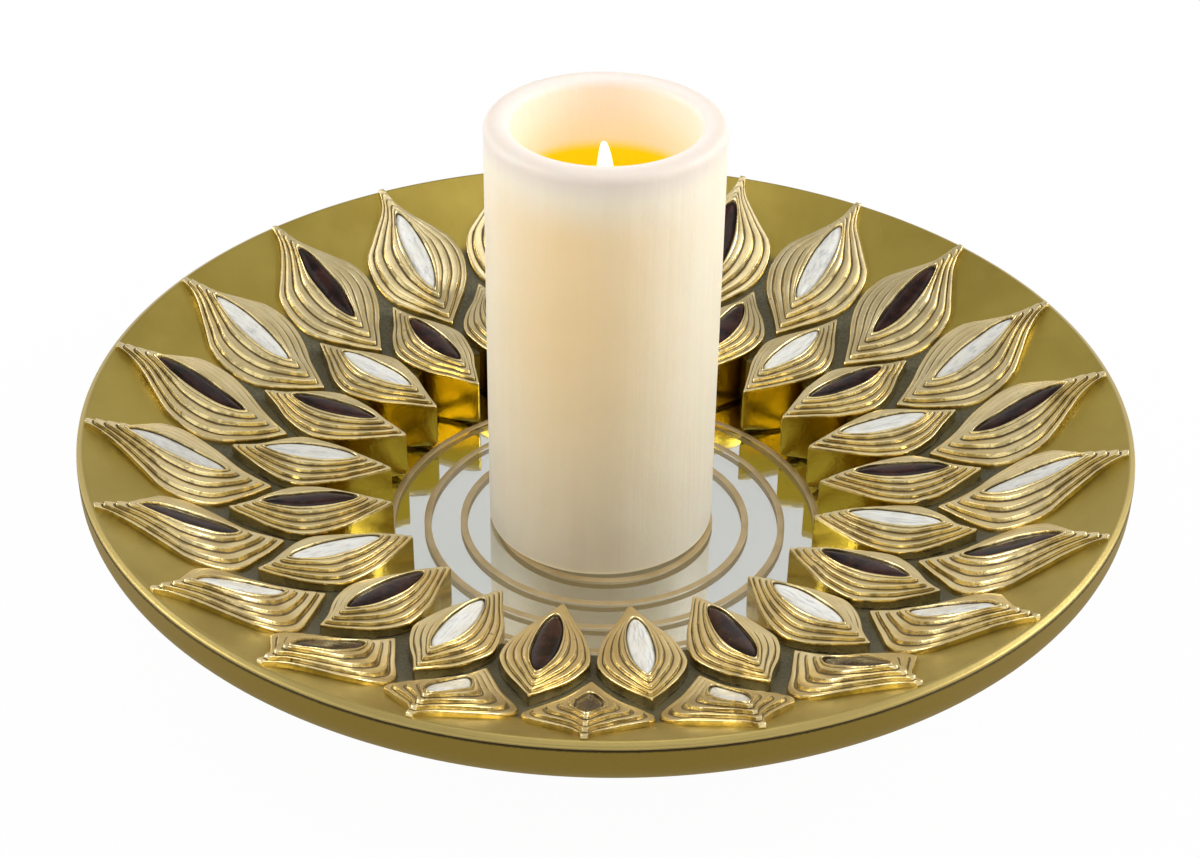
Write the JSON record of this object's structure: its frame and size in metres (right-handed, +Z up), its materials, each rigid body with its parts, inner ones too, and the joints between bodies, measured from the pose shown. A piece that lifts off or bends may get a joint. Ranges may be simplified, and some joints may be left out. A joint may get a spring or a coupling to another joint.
{
  "type": "candle plate",
  "caption": "Round gold candle plate with two rows of inlaid leaf petals round a mirror, holding a lift-off flameless pillar candle with a swaying flame.",
  "frame": {"origin": "centre of the plate's base, at the level of the felt pads", "axes": "+Z up, -Y towards the viewer of the picture, +X to the right"},
  "size_m": [0.3556, 0.3556, 0.162],
  "materials": {
    "antique_gold": "satin antique gold paint on cast resin",
    "leaf_gold": "polished leaf gold with brown patina in the grooves",
    "dark_gem": "glossy dark brown cabochon",
    "pearl": "polished mother of pearl",
    "mirror": "silvered glass",
    "foam": "matte foam",
    "felt": "black felt",
    "wax": "smooth ivory wax, glowing near the flame",
    "warm_plastic": "translucent, lit from below",
    "white_plastic": "moulded",
    "black_plastic": "moulded",
    "board": "solder mask",
    "copper": "enamelled wire",
    "steel": "plain",
    "cell": "printed foil, plain",
    "lamp": "clear epoxy, lit",
    "flame": "lit translucent plastic"
  },
  "bodies": {
    "plate": {"plate_body": "antique_gold", "foot_pads": "felt", "mirror_glass": "mirror", "mirror_pads": "foam", "outer_petals": "leaf_gold", "inner_petals": "leaf_gold", "outer_gems_dark": "dark_gem", "outer_gems_pearl": "pearl", "inner_gems_dark": "dark_gem", "inner_gems_pearl": "pearl"},
    "candle": {"wax_shell": "wax", "well_plate": "warm_plastic", "candle_core": "white_plastic", "circuit_board": "board", "drive_coil": "copper", "led": "lamp", "flame_pivot": "steel", "battery_bay": "black_plastic", "batteries": "cell", "battery_contacts": "steel", "base_cap": "black_plastic", "switch_body": "black_plastic"},
    "flame": {"flame_blade": "flame", "flame_magnet": "steel"},
    "battery_cover": {"battery_cover": "black_plastic", "cover_contact": "steel"},
    "switch": {"switch_slider": "white_plastic"}
  },
  "joints": [
    {"name": "candle_lift", "type": "slide", "parent": "plate", "child": "candle", "axis": [0, 0, 1], "range_m": [0, 0.06]},
    {"name": "flame_sway", "type": "hinge", "parent": "candle", "child": "flame", "pos_m": [-0.0015, 0.0045, 0.12705], "axis": [0, 1, 0], "range_deg": [-6, 6]},
    {"name": "battery_cover_slide", "type": "slide", "parent": "candle", "child": "battery_cover", "axis": [0, -1, 0], "range_m": [0, 0.003]},
    {"name": "switch_slide", "type": "slide", "parent": "candle", "child": "switch", "axis": [1, 0, 0], "range_m": [0, 0.0036]}
  ]
}
